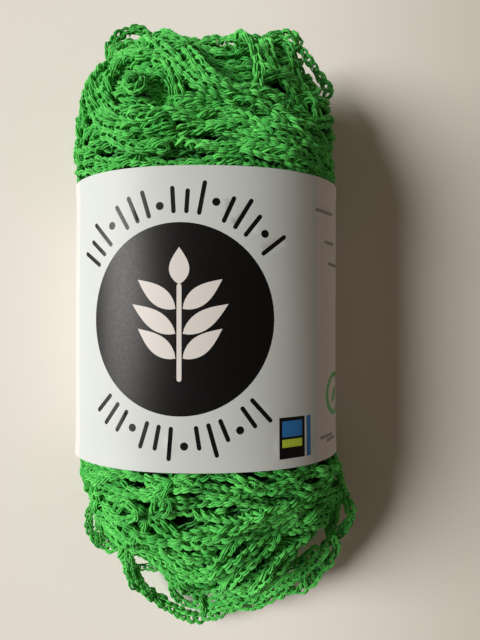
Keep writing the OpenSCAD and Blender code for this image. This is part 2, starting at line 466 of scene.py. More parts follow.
def bump(tree, height, strength, distance):
    inputs = {"Strength": strength, "Distance": distance, "Height": height}
    return put(tree, "Bump", inputs).outputs["Normal"]


BRIGHTEST = 1.6                      # how high the yarn's tone can reach, from its three parts together


def yarn_material():
    """Matte cotton: tone by stitch, by patch and by fibre, and painted shade that darkens the threads lying
    deep inside.
    """
    material, tree, shader = new_material("green_cotton")
    shade = put(tree, "Attribute", attribute_name="shade").outputs["Fac"]
    depth = put(tree, "Attribute", attribute_name="depth").outputs["Fac"]
    fibre = noise(tree, 2600, 4)
    tone = calculate(tree, "MULTIPLY_ADD", fibre, 0.45, shade)
    tone = calculate(tree, "MULTIPLY_ADD", noise(tree, 90), 0.5, tone)
    tone = calculate(tree, "DIVIDE", tone, BRIGHTEST)
    stops = (0.25, (0.032, 0.34, 0.046, 1)), (1.45 / BRIGHTEST, (0.120, 0.62, 0.115, 1))
    cotton = colour_ramp(tree, tone, stops)
    set_inputs(tree, shader, {
        # painted shade: threads that lie deep are mixed towards a near-black green
        "Base Color": mix_colours(tree, depth, cotton, (0.004, 0.085, 0.014, 1)),
        "Roughness": remap(tree, fibre, 0.80, 0.98),
        "Specular IOR Level": 0.25,
        "Sheen Weight": 0.25,
        "Sheen Roughness": 0.5,
        "Sheen Tint": (0.45, 1.0, 0.45, 1),
        "Normal": bump(tree, fibre, 0.5, 0.00006),
    })
    return material


def core_material():
    """The crocheted folds deep in the roll, seen only through the gaps in the net, painted near black for the
    shade they lie in.
    """
    material, tree, shader = new_material("deep_cotton_painted_shade")
    loops = noise(tree, 700, 3)
    # painted shade: a far darker green than the yarn itself
    stops = (0.35, (0.002, 0.026, 0.005, 1)), (0.7, (0.008, 0.095, 0.017, 1))
    set_inputs(tree, shader, {
        "Base Color": colour_ramp(tree, loops, stops),
        "Roughness": 0.95,
        "Specular IOR Level": 0.1,
        "Normal": bump(tree, loops, 0.8, 0.0004),
    })
    return material


YARN = yarn_material()
CORE = core_material()


def make_piece(yarn, name, node=None, fuzzy=True, bend=None):
    """Makes the yarn's piece, which may stand for a CAD node.

    Without bend the piece rides on the roll. With bend its placement is baked into its mesh and it rides on
    no body; the start and end that bend holds are not read.
    """
    if fuzzy:
        yarn.fuzz()
    piece = yarn.mesh(name)
    if bend:
        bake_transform(piece)
    else:
        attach(piece, "roll")
    if node:
        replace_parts(piece, node)


# ---------------- relief of the roll

def hump(x, middle, spread):
    return np.exp(-0.5 * ((x - middle) / spread) ** 2)


# The crease of the folded flap at the blunt end, as Y along X; the net behind it lies lower.
CREASE_X = np.array([-19, -10, -5, -1, 3, 8, 16, 22, 29, 36.0])
CREASE_Y = np.array([79, 73, 68, 63, 58, 55.5, 54.5, 52.5, 48.5, 43.0])

# Hollows and swellings on the upper side: X, Y, spread along X, spread along Y, height.
DENTS = [
    (-9, 56, 3.2, 2.6, -3.6), (-16.5, 56.5, 3.0, 3.0, 0.8), (-3, 53, 7, 1.5, -3.2),
    (-27, 43, 5, 2.0, -1.2), (26, 41, 6, 2.0, -1.2), (-1, 43, 9, 2.2, 0.8),
    (9, -47, 8, 1.6, -1.6), (3, -57, 6, 1.8, -1.6), (17, -56, 7, 2.0, -1.8), (-15, -50, 6, 2.0, -0.8),
    (-19, -48, 4, 3.0, 0.8), (-5, -52.5, 8, 2.0, 0.8), (19, -63, 7, 1.8, -1.2), (-28, -50, 3, 5, -1.0),
    (24, -54, 7, 8, -1.7),
]

lumps = Ripples(7, 6, 22, 0.9)


def relief(x, y):
    """How far the upper side stands out or in at a place."""
    over = y - np.interp(x, CREASE_X, CREASE_Y)
    flap = smoothstep(-18, -7, x) * (1 - smoothstep(30, 37, x))
    rise = -3.6 * smoothstep(0, 4.5, over) * flap * (1 - 0.9 * smoothstep(66, 76, y))
    rise = rise + 1.1 * np.exp(-(over / 2.4) ** 2) * flap
    for dx, dy, wide, tall, high in DENTS:
        rise = rise + high * hump(x, dx, wide) * hump(y, dy, tall)
    return rise


def end_shift(x, y):
    """How far the ends reach out in lobes, or stay back, at a place across the roll."""
    blunt = -2.4 * hump(x, -22, 4.5) + 1.2 * hump(x, 20, 6.5) - 3.8 * hump(x, 7.5, 6.5)
    tapered = 4.0 * (1 - smoothstep(-16, -5, x)) - 6.0 * hump(x, 8, 11)
    return np.where(y > 0, blunt * smoothstep(50, 78, y), tapered * smoothstep(50, 74, -y))


def squeeze(x, y):
    """How far the sides draw in or bulge out along the roll."""
    right = -0.11 * smoothstep(54, 72, y) + 0.09 * hump(y, -52, 7)
    left = -0.05 * smoothstep(40, 50, y) - 0.05 * smoothstep(36, 44, -y)
    return np.maximum(x, 0) * right + np.minimum(x, 0) * left


def net_point(share, m, out):
    """roll_point with the roll's relief and lobes."""
    point, normal = roll_point(share, m, out)
    x, y, z = point[..., 0], point[..., 1], point[..., 2]
    outside = smoothstep(SLEEVE_END - 2, SLEEVE_END + 10, np.abs(y))
    rise = relief(x, y) * smoothstep(20, 33, z) + lumps(share, m) * outside
    point = point + normal * (rise * outside)[..., None]
    x, y = point[..., 0], point[..., 1]
    point[..., 1] += end_shift(x, y)
    point[..., 0] += squeeze(x, y)
    return point, normal


def row_drift(share, m):
    """How rows lean along the roll: a V at the tapered end, and a climb up the left at the blunt end."""
    phi = np.interp(share % 1.0, _run / PERIMETER, _phi)
    x = section(phi)[0]
    upper = smoothstep(-0.1, 0.5, np.sin(np.radians(phi)))
    vee = -8.0 * (hump(x, 2, 17) - 0.35) * smoothstep(40, 66, -m)
    climb = 8.0 * smoothstep(18, 34, -x) * smoothstep(40, 55, m)
    dip = -4.0 * smoothstep(8, 34, x) * smoothstep(38, 50, m)
    return upper * (vee + (climb + dip))


# ---------------- the net

ROW_STEP = 2.7                       # distance between neighbouring rows of the outer net
COVERED_STEP = 3.4                   # the same under the sleeve
NODES_ROUND = 9                      # joins between neighbouring rows, round the roll
ROW_SLACK = 0.95                     # how far a row swings towards its neighbours
UNDER_SLEEVE = -2.6                  # where the cords' middles lie under the sleeve
OUTSIDE = -0.5                       # and beyond the sleeve, where the net bulges

row_sway = Ripples(3, 3, 40, 1.2)
row_lift = Ripples(4, 6, 14, 0.6)
fine_lift = Ripples(5, 16, 7, 0.45)


def net_out(share, m):
    """How far out the outer net's cords lie."""
    y = np.abs(np.interp(m, PROFILE_M, PROFILE_Y))
    bulge = smoothstep(SLEEVE_END - 1, SLEEVE_END + 5, y)
    return UNDER_SLEEVE + (OUTSIDE - UNDER_SLEEVE) * bulge + bulge * row_lift(share, m)


def net_row(index, m, deeper, seed):
    """A wavy ring of the net round the roll: its path and its outward directions."""
    k = np.interp(m, PROFILE_M, PROFILE_K)
    count = max(24, int(360 * k))
    share = np.arange(count) / count
    wobble = Ripples(seed, 5, 30, 0.55)
    joins = NODES_ROUND if k > 0.55 else max(3, round(NODES_ROUND * k))
    zigzag = np.sin(TAU * (share * joins + 0.5 * (index % 2)) + 1.3 * np.sin(TAU * share + seed))
    along = m + ROW_SLACK * zigzag + wobble(share, m) + row_sway(share, m) + row_drift(share, m)
    along = np.clip(along, PROFILE_M[0] + 0.5, PROFILE_M[-1] - 0.5)
    outside = smoothstep(SLEEVE_END, SLEEVE_END + 6, np.abs(along))
    out = net_out(share, along) - deeper + fine_lift(share, along) * (0.1 + 0.9 * outside)
    path, normal = net_point(share, along, out)
    return clear_of_table(path), normal


SWAY = 26.0                          # length of the slowest turn to and fro of a cord's facing


def twist_up(path, up, rng, amount):
    """Turns the cord's facing slowly to and fro along its path."""
    along = unit(np.gradient(path, axis=0))
    run = run_along(path)
    turns = max(1, round(run[-1] / SWAY))
    angle = np.zeros(len(path))
    for k in range(1, turns + 2):
        angle += rng.normal() / math.sqrt(k) * np.sin(TAU * k * run / run[-1] + rng.uniform(0, TAU))
    angle = (amount * angle)[:, None]
    up = unit(up - along * (up * along).sum(-1, keepdims=True))
    return up * np.cos(angle) + np.cross(along, up) * np.sin(angle)


FACES_PER_PIECE = 150_000            # rows are gathered into one piece until it has this many


def build_rows(name, rows, seed, deeper, detail_at, fuzzy=False, **looks):
    """Rows of chain round the roll, split into pieces of a handy size."""
    yarn = Yarn(seed)
    made = 0
    for i, m in enumerate(rows):
        path, normal = net_row(i, m, deeper, seed * 100 + i)
        covered = abs(m) < SLEEVE_END + 2
        up = twist_up(path, normal, yarn.rng, 0.15 if covered else 0.45)
        yarn.chain(path, up, closed=True, thick=0.8 if covered else 1.0, **looks, **detail_at(m))
        if yarn.face_count() > FACES_PER_PIECE or i == len(rows) - 1:
            made += 1
            make_piece(yarn, f"{name}_{made:02d}", fuzzy=fuzzy)


def outer_detail(m):
    return MEDIUM if abs(m) < SLEEVE_END - 4 else FULL


def on_top(x, y, out):
    """A point on the roll's upper side from X, Y and the distance outwards, with its outward direction."""
    x, y, out = (np.asarray(v, float) for v in (x, y, out))
    edge = np.clip(y, PROFILE_Y[0] + 0.5, PROFILE_Y[-1] - 0.5)
    m = np.interp(edge, PROFILE_Y, PROFILE_M)
    k = np.interp(m, PROFILE_M, PROFILE_K)
    c = np.clip(x / (SLEEVE_W / 2 * np.maximum(k, 0.05)), -0.995, 0.995)
    c = np.sign(c) * np.abs(c) ** (TOP_POWER / 2)
    phi = np.degrees(np.arccos(np.clip(c, -1, 1)))
    share = np.interp(phi, _phi, _run) / PERIMETER
    return net_point(share, m, out)


def lay(yarn, places, out, width=WIDTH, depth=0.0, twist=0.3):
    """A cord laid on the upper side through places given as X and Y, standing out most in its middle."""
    fine = smooth_curve(places, max(8, int(run_along(places)[-1])))
    rise = out * (0.4 + 0.6 * np.sin(np.linspace(0, math.pi, len(fine))))
    path, normal = on_top(fine[:, 0], fine[:, 1], rise)
    up = twist_up(path, normal, yarn.rng, twist)
    yarn.chain(clear_of_table(path), up, width=width, depth=depth, **FULL)


def hang(yarn, places, width, facing=(0, 0, 1), thick=1.0):
    """A cord through free places given as X, Y and Z."""
    path = smooth_curve(places, max(10, int(1.2 * run_along(places)[-1])))
    up = twist_up(path, np.broadcast_to(facing, path.shape), yarn.rng, 0.5)
    yarn.chain(clear_of_table(path), up, width=width, thick=thick, **FULL)


def stray_cords(yarn, rng, count, zone, lengths, slant, out, width):
    """Short lengths of chain that wander over the net where folds overlap."""
    for _ in range(count):
        steps = int(rng.uniform(*lengths))
        heading = rng.normal(0, slant) + (math.pi if rng.random() < 0.5 else 0)
        drift = rng.normal(0, 0.02)
        sway = np.sin(np.linspace(0, rng.uniform(2, 7), steps) + rng.uniform(0, TAU))
        angle = heading + np.cumsum(drift + 0.05 * sway)
        share = rng.uniform(0, 1) + np.cumsum(np.cos(angle)) / PERIMETER
        m = np.clip(rng.uniform(*zone) + np.cumsum(np.sin(angle)), PROFILE_M[0] + 6, PROFILE_M[-1] - 6)
        m = m + row_drift(share, m)
        rise = out * np.sin(np.linspace(0, math.pi, steps)) ** 0.5
        rise = rise * smoothstep(SLEEVE_END, SLEEVE_END + 5, np.abs(m))
        path, normal = net_point(share, m, net_out(share, m) + rise - 0.9)
        yarn.chain(clear_of_table(path), twist_up(path, normal, rng, 0.5), width=width, **FULL)


CORE_DEPTH = 5.4                     # how far the dark mass lies below the net's surface


def build_core():
    """The folded mass inside the net, as one closed lumpy form, painted dark for the shade it lies in."""
    around, along = 120, 90
    first, last = PROFILE_M[0] + 1, PROFILE_M[-1] - 1
    share, m = np.meshgrid(np.arange(around) / around, np.linspace(first, last, along))
    knots = Ripples(9, 24, 5, 0.5)
    k = np.interp(m, PROFILE_M, PROFILE_K)
    points, _ = net_point(share, m, -CORE_DEPTH * np.minimum(1, 0.25 + k) + knots(share, m))
    points = clear_of_table(points, 0.6).reshape(-1, 3)
    i = np.arange(along - 1)[:, None] * around
    j = np.arange(around)
    j1 = (j + 1) % around
    quads = np.stack([i + j, i + j1, i + around + j1, i + around + j], -1)
    ends = [j[::-1], (along - 1) * around + j]
    sizes = np.concatenate([np.full(quads.size // 4, 4), [around, around]])
    core = make_mesh("net_core", points, np.concatenate([quads.ravel(), *ends]), sizes, CORE)
    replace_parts(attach(core, "roll"), "net_body")


def row_places(first, last, step):
    """Where rows lie along the profile: closer together beyond the sleeve than under it."""
    places = [first]
    while places[-1] < last:
        covered = smoothstep(SLEEVE_END, SLEEVE_END - 4, abs(places[-1]))
        places.append(places[-1] + step + (COVERED_STEP - ROW_STEP) * covered)
    return places[:-1]


def build_net():
    """Wavy rows all over the roll, and a second layer of rows below them, darkened with painted shade."""
    first, last = PROFILE_M[0] + 4, PROFILE_M[-1] - 4
    build_rows("net_outer", row_places(first, last, ROW_STEP), 21, 0.0, outer_detail, fuzzy=True)
    # painted shade: the lower rows are mixed 0.45 of the way to near-black green
    build_rows("net_inner", row_places(first + 2, last - 1, ROW_STEP * 0.95), 22, 1.9, lambda m: LIGHT,
               width=3.1, pitch=2.7, depth=0.45)


def build_end_swirls():
    """The cord's last turns, which close the net over the middle of each end."""
    yarn = Yarn(35)
    t = np.linspace(0, 1, 150)
    share = 0.1 + 3.4 * t
    for end, way in ((PROFILE_M[-1], -1), (PROFILE_M[0], 1)):
        m = end + way * (11.5 - 10.3 * t)
        path, normal = net_point(share, m, -0.4 + 0.5 * np.sin(9 * t))
        yarn.chain(clear_of_table(path), twist_up(path, normal, yarn.rng, 0.4), **FULL)
    make_piece(yarn, "end_swirls")


def build_strays():
    """Cords that cross the rows at both ends of the roll."""
    rng = np.random.default_rng(31)
    for name, zone in (("net_strays_tapered", (PROFILE_M[0] + 8, -SLEEVE_END - 3)),
                       ("net_strays_blunt", (SLEEVE_END + 3, PROFILE_M[-1] - 8))):
        yarn = Yarn(32)
        stray_cords(yarn, rng, 14, zone, (18, 46), 0.30, 1.3, WIDTH * 0.95)
        stray_cords(yarn, rng, 20, zone, (5, 9), 1.1, 1.0, WIDTH * 0.85)
        make_piece(yarn, name)


# ---------------- cords worked at the blunt end

def build_blunt_features():
    """The cords that shape the blunt end: its crease and hollow, and what wraps round the curl."""
    yarn = Yarn(41)
    # The crease of the flap: a double cord from the left lobe down and across to the right.
    lay(yarn, [(-17, 78), (-12, 76), (-6, 71), (-2, 64.5), (2, 59), (7, 56), (15, 55), (22, 53.5), (29, 50),
               (33, 45)], out=1.4)
    lay(yarn, [(-19, 75.5), (-13, 71.5), (-8, 66), (-4.5, 61), (0, 57), (6, 54.5), (13, 53), (19, 50.5),
               (26, 47)], out=1.1)
    # A slack loop that hangs in front of the hollow behind the crease.
    lay(yarn, [(-1, 74), (5, 75), (11, 73), (14, 69), (15.5, 64), (14.5, 58.5), (12.5, 56)],
        out=3.8, twist=0.2)
    # Cords across the hollow, and one down its right side.
    lay(yarn, [(-3, 74), (3, 72.5), (9, 72), (14, 74)], out=0.8, width=2.6)
    lay(yarn, [(0, 67.5), (5, 68.5), (10, 67), (16, 67.5)], out=0.8, width=2.6)
    lay(yarn, [(3, 62), (8, 63.5), (13, 62), (18, 63)], out=0.8, width=2.5)
    lay(yarn, [(18, 76), (21, 69), (25, 62), (31, 56)], out=0.9)
    # Cords that wrap round the curl.
    lay(yarn, [(-15, 67), (-21, 67), (-24, 61), (-23.5, 53.5), (-19, 49.5), (-13, 48.5), (-6, 50.5), (0, 51)],
        out=1.2)
    lay(yarn, [(-22, 73), (-27, 71), (-30, 65), (-29.5, 56), (-24.5, 48.5), (-15, 46), (-6, 48)], out=0.9)
    lay(yarn, [(-22, 70.5), (-15.5, 66.5), (-10, 65), (-6.5, 60), (-5, 54.5)], out=1.3)
    lay(yarn, [(-12, 61), (-8, 59), (-7, 55), (-8.5, 51.5)], out=0.8, width=2.4)
    # Cords that climb the left edge to the lobe.
    lay(yarn, [(-35, 44), (-35.5, 53), (-35, 61), (-32.5, 69), (-28.5, 74), (-26, 76)], out=0.7)
    lay(yarn, [(-33, 41), (-34, 48), (-33, 56), (-33.5, 64), (-30, 72)], out=0.5)
    lay(yarn, [(-30, 45.5), (-24, 46), (-21, 44.5), (-15, 41.5), (-7, 41.5)], out=0.7)
    lay(yarn, [(10, 41.5), (16, 40.5), (22, 39.5), (28, 38.5)], out=0.6)
    # The flat edge between the lobes.
    lay(yarn, [(-14, 79), (-8, 79), (-1, 79.5), (7, 79.5), (15, 78)], out=0.6)
    lay(yarn, [(18, 77.5), (23.5, 75.5), (28.5, 67), (31.5, 60), (33, 54)], out=0.8)
    # Slack cords that leave the right edge and come back, with a slit between them.
    hang(yarn, [(22.5, 81, 23), (27, 81.5, 22.5), (30.5, 78, 22), (33, 74.5, 22), (35, 71.5, 22),
                (37, 69, 21.5), (35, 67, 21)], width=2.6)
    hang(yarn, [(18, 79, 26), (23.5, 77.5, 26.5), (26.5, 73.5, 26.5), (29.5, 69, 25.5), (32.5, 64, 24.5),
                (34, 60, 24)], width=2.6)
    make_piece(yarn, "blunt_end_cords")


def build_curl():
    """The tight ring where the crochet starts: a cord wound one and a half times round a small eye."""
    yarn = Yarn(42)
    turns = np.linspace(0, 1.45 * TAU, 60)
    radius = 1.1 + 0.2 * turns
    lift = 1.4 - 0.28 * turns
    centre, up = on_top(-16, 57, 1.6)
    east = unit(np.cross((0, 1.0, 0), up))
    north = np.cross(up, east)
    x = radius * np.cos(turns + 0.6)
    y = radius * np.sin(turns + 0.6)
    path = centre + x[:, None] * east + y[:, None] * north + lift[:, None] * up
    yarn.chain(path, unit(path - centre + 3.0 * up), width=2.2, pitch=2.0, **FULL)
    make_piece(yarn, "starting_ring", "base_ring")


def build_blunt_loops():
    """The two slack loops at the blunt end."""
    yarn = Yarn(43)
    hang(yarn, [(-29.5, 76.5, 25), (-28.5, 81, 24), (-26.5, 85, 22.5), (-22.5, 87, 22), (-18.5, 86, 22),
                (-14.5, 83.5, 23), (-10, 80.5, 25)], width=2.9, facing=(0, 0.5, 1))
    hang(yarn, [(-28, 76, 28), (-24.5, 79, 28), (-20, 80, 27), (-15, 79.5, 27.5), (-11, 77.5, 29)],
         width=2.8, facing=(0, 0.6, 1))
    hang(yarn, [(-25, 79, 19), (-22.5, 84, 18.5), (-18.5, 84.5, 18.5), (-15, 80, 19)],
         width=2.7, facing=(0, 1, 0.2))
    bend = ((0, 79.5, 22), (0, 84.5, 22))
    make_piece(yarn, "left_lobe", "top_left_loop", bend=bend)
    yarn = Yarn(44)
    hang(yarn, [(10, 77.5, 27), (14.5, 81, 25), (19, 84.5, 23.5), (23.5, 85.5, 23), (27, 84, 22.5),
                (27, 82, 22.5), (24, 80.5, 23.5), (19.5, 79.5, 25)], width=2.9, facing=(0.2, 0.4, 1))
    hang(yarn, [(14, 79, 21.5), (18.5, 83, 20.5), (23, 84, 20), (26, 81.5, 20.5), (26, 78, 21.5)],
         width=2.7, facing=(0.3, 0.9, 0.2))
    hang(yarn, [(15, 79.5, 25), (19.5, 82, 24.5), (24.5, 82.5, 24), (25.5, 80.5, 24)],
         width=2.8, facing=(0, 0.3, 1))
    make_piece(yarn, "right_knob", "top_right_loop", bend=bend)


# ---------------- the tapered end

def build_tapered_features():
    """The cords that shape the tapered end: its sloping rows, small curls and edges."""
    yarn = Yarn(51)
    # Rows that slope to the point from both sides.
    lay(yarn, [(-28, -48), (-21, -50), (-14, -54), (-6, -54), (1, -53), (9, -51), (18, -49), (28, -49)],
        out=0.9)
    lay(yarn, [(-29, -58), (-20, -62), (-11, -64.5), (-2, -64), (6, -60.5), (14, -58), (23, -56), (30, -52)],
        out=0.9)
    lay(yarn, [(-6, -70), (-1, -76), (8, -64), (16, -60), (23, -56.5), (32, -57)], out=1.0)
    lay(yarn, [(2, -76), (10, -70), (17.5, -64), (25, -60.5), (33, -60)], out=1.0)
    # Small curls of slack stitches lying on the net.
    lay(yarn, [(-22, -48), (-19, -45), (-16, -46), (-16, -48), (-19.5, -49.5), (-23, -50)],
        out=1.7, width=2.4)
    lay(yarn, [(17, -52.5), (20, -51.5), (23, -50), (23.5, -52.5), (20.5, -55), (17.5, -53.5)],
        out=1.4, width=2.2)
    # This curl lies low and gets a little painted shade.
    lay(yarn, [(-11, -42), (-8, -44), (-9, -47), (-14, -48)], out=0.8, width=2.4, depth=0.2)
    lay(yarn, [(-35, -41), (-34.5, -47), (-35, -53), (-33.5, -59)], out=0.6)
    lay(yarn, [(-32.5, -41.5), (-30, -47), (-31.5, -52), (-29.5, -55.5)], out=0.6)
    # Slack cord down the right edge.
    hang(yarn, [(36.5, -40, 30), (39, -46, 27), (40, -51, 24), (39.5, -56, 21)], width=2.7)
    make_piece(yarn, "tapered_end_cords")


def build_side_loops():
    """The two slack loops at the sides, near the tapered end."""
    yarn = Yarn(52)
    hang(yarn, [(-33, -55, 20), (-36.5, -59, 17), (-38, -63.5, 14.5), (-38, -68, 13), (-36, -71.5, 12.5),
                (-32, -73, 13.5), (-28, -71, 16)], width=2.7)
    hang(yarn, [(-31, -58, 22), (-33, -62, 19), (-32.5, -66, 17), (-31, -69.5, 15), (-30, -72.5, 13.5)],
         width=2.5)
    make_piece(yarn, "left_side_slack", "left_side_loop", bend=((-32.5, -65, 18), (-36.5, -65, 18)))
    yarn = Yarn(53)
    hang(yarn, [(37, -49.5, 24), (40.5, -53, 22), (43, -57, 20.5), (43.5, -60.5, 19.5), (42, -64, 19),
                (38.5, -67, 19), (34.5, -69.5, 20)], width=2.8, facing=(0.3, 0, 1))
    hang(yarn, [(36.5, -52, 24), (38.5, -56.5, 22), (38.5, -61.5, 20.5), (36.5, -65.5, 20)], width=2.5)
    make_piece(yarn, "right_side_slack", "right_side_loop", bend=((36.5, -60, 19), (40.5, -60, 19)))


def build_web():
    """The last row of the mesh, drawn out to a point with open holes in it."""
    yarn = Yarn(54)
    # The left edge of the point, and the cord above the big hole.
    hang(yarn, [(-25, -64, 24), (-25.5, -71, 19.5), (-26.5, -78, 13), (-26, -84.5, 9.5), (-22.5, -90, 7.5),
                (-17.5, -94, 6), (-12, -97.5, 5.5), (-7, -100, 5), (-2, -101.5, 4.5)], width=3.4, thick=1.15)
    hang(yarn, [(-23, -66, 25), (-24, -72, 20), (-24.5, -79, 13), (-23, -86, 9.5), (-19.5, -91, 8)],
         width=2.8)
    hang(yarn, [(-23, -62.5, 29), (-20, -69.5, 22.5), (-15, -76, 17), (-11, -82, 13), (-7, -86.5, 11),
                (-3.5, -91, 9), (-2, -96, 7), (-3, -99.5, 5)], width=3.3, thick=1.15)
    hang(yarn, [(-5, -84, 12.5), (-4, -90, 9.5), (-1.5, -94.5, 7.5), (-1.5, -100, 5)], width=3.0, thick=1.1)
    # The small ring inside the big hole.
    hang(yarn, [(-11, -82, 13), (-12.5, -87.5, 10), (-11, -92, 8), (-7.5, -94.5, 7.5), (-4, -94, 8),
                (-4, -90, 9.5)], width=2.5)
    hang(yarn, [(-9.5, -84.5, 12), (-9, -88.5, 10), (-6, -90, 9.5)], width=2.4)
    # The right edge of the point and the rows inside it.
    hang(yarn, [(-3.5, -101, 5), (1.5, -99, 5.5), (7, -96.5, 6.5), (13.5, -95, 7.5), (19, -92, 9),
                (25.5, -88, 11), (31, -86.5, 12), (35, -80.5, 13.5), (38, -75.5, 15.5), (39.5, -70, 19),
                (38, -65, 23)], width=2.9, thick=1.1)
    hang(yarn, [(-2.5, -98.5, 6), (1.5, -95, 8), (7.5, -93, 9.5), (13, -91, 11), (18.5, -87.5, 13),
                (24, -83, 15), (29, -79, 17), (33, -74, 19.5), (36, -68, 22.5)], width=2.9)
    hang(yarn, [(-1, -93, 9), (4.5, -90.5, 11), (11, -87, 13.5), (16.5, -82.5, 16), (22, -77.5, 19),
                (28, -73, 21.5), (33, -67.5, 24)], width=2.8)
    hang(yarn, [(0, -88, 13), (6.5, -85, 15), (12.5, -80, 18), (18, -74.5, 21), (25, -69.5, 24)], width=2.8)
    rungs = [
        ((4.5, -97, 6.5), (9.5, -92.5, 10)),
        ((13.5, -94.5, 8), (18.5, -87, 13)),
        ((21.5, -90.5, 10), (24.5, -82.5, 15)),
        ((30, -86.5, 12), (28, -79.5, 16.5)),
        ((36.5, -78, 14.5), (32.5, -74.5, 19)),
    ]
    for outer, inner in rungs:
        middle = (np.array(outer) + inner) / 2 + (0.9, 0.4, 0.6)
        hang(yarn, [outer, middle, inner], width=2.6)
    # The small mesh between the body and the big hole.
    hang(yarn, [(-17, -68.5, 24), (-13.5, -74, 19.5), (-10, -79, 16), (-8, -84, 13)], width=2.6)
    hang(yarn, [(-12.5, -67, 25.5), (-9, -72.5, 20.5), (-6.5, -78.5, 16.5), (-5, -84.5, 13)], width=2.6)
    hang(yarn, [(-16, -73, 19.5), (-11.5, -76, 17.5), (-5, -76, 17.5), (1, -79, 16.5)], width=2.6)
    hang(yarn, [(31.5, -86, 12), (33.5, -81, 14), (31, -76.5, 17), (27.5, -74.5, 20)], width=2.7)
    make_piece(yarn, "pointed_web", "bottom_web", bend=((0, -74, 12), (0, -86, 12)))


# ---------------- cords that the loops hang on

def build_edge_cords():
    """The cords inside the net's edge that the slack loops pass round, each sagging inwards."""
    lines = {
        "top_edge_cord": [(-27, 83, 20), (27, 83, 20)],
        "bottom_edge_cord": [(-27, -81, 11), (27, -81, 11)],
        "left_side_cord": [(-33.8, -70, 19), (-35, -56, 19)],
        "right_side_cord": [(37.5, -69.5, 19), (37.5, -50.5, 19)],
    }
    t = np.linspace(0, 1, 40)[:, None]
    for seed, (node, ends) in enumerate(lines.items()):
        yarn = Yarn(60 + seed)
        start, end = np.array(ends, float)
        inward = -unit((start + end) * (1, 1, 0))
        path = start + (end - start) * t + 1.6 * np.sin(math.pi * t) * inward
        up = twist_up(path, np.broadcast_to((0, 0, 1.0), path.shape), yarn.rng, 0.4)
        yarn.chain(path, up, width=2.6, **MEDIUM)
        make_piece(yarn, node + "_chain", node, fuzzy=False)


# ---------------- the handle folded inside

STRAP_ENDS = (-58, 62)               # where the folded strap turns back, along Y


def build_handle():
    """The long handle: a flat crocheted strap folded to and fro inside the roll."""
    low, high = cad_box("handle_strap")
    passes, cords, half = 5, 5, 0.9
    rise = (high[2] - low[2] - 2 * half) / (passes - 1)
    wide = (high[0] - low[0]) / cords
    yarn = Yarn(71)
    for i in range(cords):
        path = []
        for n in range(passes):
            y = np.linspace(*STRAP_ENDS, 60)
            z = low[2] + half + n * rise + 0.15 * np.sin(y / 7 + n)
            y = y if n % 2 == 0 else y[::-1]
            x = low[0] + wide * (i + 0.5) + 0.2 * np.sin(y / 9 + n)
            path.append(np.stack([x, y, z], -1))
        path = np.concatenate(path)
        up = np.broadcast_to((0, 0, 1.0), path.shape)
        # painted shade darkens the strap hidden in the roll
        yarn.chain(path, up, width=wide * 1.05, pitch=3.0, thick=0.5, depth=0.2, **LIGHT)
    make_piece(yarn, "folded_handle", "handle_strap", fuzzy=False)


def build_mouth_rim():
    """The dense rows of stitches round the bag's mouth, at the inner edge of the rolled sheet."""
    low, high = cad_box("mouth_rim")
    yarn = Yarn(72)
    for t in (0.2, 0.5, 0.8):
        y = np.linspace(low[1] + 1, high[1] - 1, 110)
        x = low[0] + (high[0] - low[0]) * (1 - 0.3 * t) - 0.8 + 0.15 * np.sin(y / 5)
        z = low[2] + (high[2] - low[2]) * t + 0.15 * np.sin(y / 6 + t)
        path = np.stack([x, y, z], -1)
        # painted shade darkens these hidden rows
        yarn.chain(path, np.broadcast_to((1.0, 0, 0), path.shape), width=1.9, pitch=2.2, depth=0.2, **LIGHT)
    make_piece(yarn, "mouth_edge", "mouth_rim", fuzzy=False)


SEWN = 0.24                          # radius of one of the three plies of the sewing thread


def build_whip_stitches():
    """Plied sewing thread over each CAD stitch that joins the handle's ends to the mouth's edge."""
    t = np.linspace(0, 1, 14)
    for name, seed, way in (("strap_stitches_top", 73, -1), ("strap_stitches_bottom", 74, 1)):
        low, high = cad_box(name)
        yarn = Yarn(seed)
        for i in range(4):
            start, end = (low[2] + 0.5, high[2] - 0.5)[::way]
            y = np.full(14, low[1] + 0.5 + 1.8 * i)
            line = np.stack([low[0] + (high[0] - low[0]) * t, y, start + (end - start) * t], -1)
            turns = [TAU * k / 3 + 9 * t for k in range(3)]
            strands = [line + SEWN * np.stack([0 * t, np.cos(turn), np.sin(turn)], -1) for turn in turns]
            ups = np.broadcast_to((0, 1.0, 0), (3, 14, 3))
            # the last values are each thread's tone and its painted shade
            yarn.add(np.array(strands), ups, np.full((3, 14), SEWN), 6, np.full(3, 0.6), np.full(3, 0.2))
        make_piece(yarn, name + "_thread", name, fuzzy=False)


# ---------------- paper sleeve and its print

def paper_material(name, colour, speckle=0.03, rough=0.55, gleam=0.35):
    """Uncoated card: faint fibres in the colour, the roughness and the surface."""
    material, tree, shader = new_material(name)
    fibres = noise(tree, 1500, 6)
    tone = calculate(tree, "ADD", fibres, noise(tree, 60))
    tone = remap(tree, tone, 1 - speckle, 1 + speckle, 0.6, 1.4)
    shaded = put(tree, "VectorMath", {0: colour, "Scale": tone}, operation="SCALE")
    set_inputs(tree, shader, {
        "Base Color": shaded.outputs["Vector"],
        "Roughness": remap(tree, fibres, rough - 0.08, rough + 0.08),
        "Specular IOR Level": gleam,
        "Normal": bump(tree, fibres, 0.25, 0.00004),
    })
    return material


def arc_points(centre, radius, start, end, count):
    """Points of an arc; angles in degrees, anticlockwise from +X."""
    angle = np.radians(np.linspace(start, end, count))
    return np.stack([centre[0] + radius * np.cos(angle), centre[1] + radius * np.sin(angle)], -1)


def disc_outline(centre, radius, count=96):
    return arc_points(centre, radius, 0, 360 - 360 / count, count)


